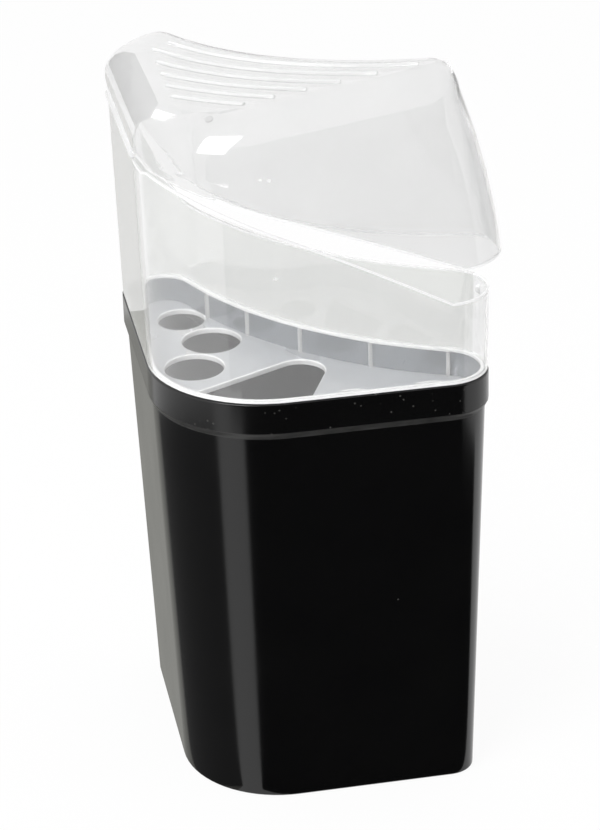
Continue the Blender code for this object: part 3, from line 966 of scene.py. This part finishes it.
def set_cards(colours):
    """Cards whose greys the tub, the sleeve and the lid mirror."""
    black = paper_card("front_card", colours.card)
    grey = paper_card("left_card", colours.left_card)
    pale = paper_card("back_card", colours.grey_card)
    gloss_card("front_card", fan_on_floor(FRONT_CARD_AT, WALL_AT, FRONT_CARD), black)
    gloss_card("right_card", fan_on_floor(FRONT_CARD_AT, CARD_NEAR, RIGHT_CARD), black)
    gloss_card("left_card", fan_on_floor(LEFT_CARD_AT, CARD_NEAR, LEFT_CARD), grey)
    gloss_card("back_card", fan_on_floor(LEFT_CARD_AT, BACK_NEAR, BACK_CARD), pale)
    gloss_card("behind_card", ring_on_floor(LEFT_CARD_AT, BACK_NEAR, CARD_FAR, BACK_CARD),
               paper_card("behind_card", colours.far_card))
    gloss_card("far_card", ring_on_floor(FRONT_CARD_AT, CARD_NEAR, WALL_AT, FAR_CARD), grey)
    foot = arc_on_floor(FRONT_CARD_AT, WALL_AT, FRONT_WALL)
    for number, (first, second) in enumerate(zip(foot, foot[1:])):
        top = [(x, y, z + WALL_TALL) for x, y, z in (second, first)]
        gloss_card("front_wall_%d" % number, [first, second] + top, black)
    side = [(*place, SIDE_CARD_Z[0]) for place in SIDE_CARD]
    side += [(*place, SIDE_CARD_Z[1]) for place in reversed(SIDE_CARD)]
    gloss_card("side_card", side, paper_card("side_card", colours.side_card))


def set_camera():
    """Camera at the photograph's place and angle."""
    lens = bpy.data.cameras.new("photo_camera")
    lens.sensor_width = SENSOR
    lens.lens = FOCAL_PX * SENSOR / IMAGE_TALL
    made = bpy.data.objects.new("photo_camera", lens)
    bpy.context.collection.objects.link(made)
    turn = Matrix.Rotation(-CAMERA_YAW, 4, "Z")
    turn = turn @ Matrix.Rotation(math.pi / 2.0 - CAMERA_PITCH, 4, "X")
    turn = turn @ Matrix.Rotation(CAMERA_ROLL, 4, "Z")
    made.matrix_world = Matrix.Translation(CAMERA_PLACE) @ turn
    bpy.context.scene.camera = made


class STAND_OT_stage(bpy.types.Operator):
    """Set the floor, the lamps, the cards and the camera"""

    bl_idname = "stand.stage"
    bl_label = "Stage"

    def execute(self, context):
        sizes = context.scene.stand_sizes
        colours = context.scene.stand_colours
        bpy.ops.object.select_all(action="DESELECT")
        bpy.ops.mesh.primitive_plane_add(size=sizes.floor_side,
                                         location=(0.0, 0.0, CAD_BOX[0][2] - FLOOR_DROP))
        floor = bpy.context.active_object
        floor.name = "floor"
        floor.data.materials.append(floor_paper(colours.floor))
        set_world(colours.floor)
        area_lamp("key", *KEY_LAMP)
        rim = area_lamp("rim", *RIM_LAMP)
        rim.visible_diffuse = False
        set_cards(colours)
        set_camera()
        context.scene.view_settings.view_transform = "Standard"
        return {"FINISHED"}


class STAND_PT_panel(bpy.types.Panel):
    """Sizes, colours and pieces of the stand"""

    bl_idname = "STAND_PT_panel"
    bl_label = "Corner brush stand"
    bl_space_type = "VIEW_3D"
    bl_region_type = "UI"
    bl_category = "Stand"

    def draw(self, context):
        column = self.layout.column()
        for group in (context.scene.stand_sizes, context.scene.stand_colours):
            for name in group.__annotations__:
                column.prop(group, name)
        for piece in PIECES:
            column.operator(piece.bl_idname)


PIECES = (STAND_OT_tub, STAND_OT_rack, STAND_OT_sleeve, STAND_OT_hinge, STAND_OT_lid,
          STAND_OT_marks, STAND_OT_stage)
CLASSES = (StandSizes, StandColours) + PIECES + (STAND_PT_panel,)


def register():
    """Register the classes and give the scene its sizes and colours."""
    for item in CLASSES:
        bpy.utils.register_class(item)
    bpy.types.Scene.stand_sizes = bpy.props.PointerProperty(type=StandSizes)
    bpy.types.Scene.stand_colours = bpy.props.PointerProperty(type=StandColours)


def unregister():
    """Take the scene's sizes and colours away and unregister the classes."""
    del bpy.types.Scene.stand_colours
    del bpy.types.Scene.stand_sizes
    for item in reversed(CLASSES):
        bpy.utils.unregister_class(item)


def main():
    """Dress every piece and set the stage."""
    register()
    bpy.ops.stand.tub()
    bpy.ops.stand.rack()
    bpy.ops.stand.sleeve()
    bpy.ops.stand.hinge()
    bpy.ops.stand.lid()
    bpy.ops.stand.marks()
    bpy.ops.stand.stage()


if __name__ == "__main__":
    main()
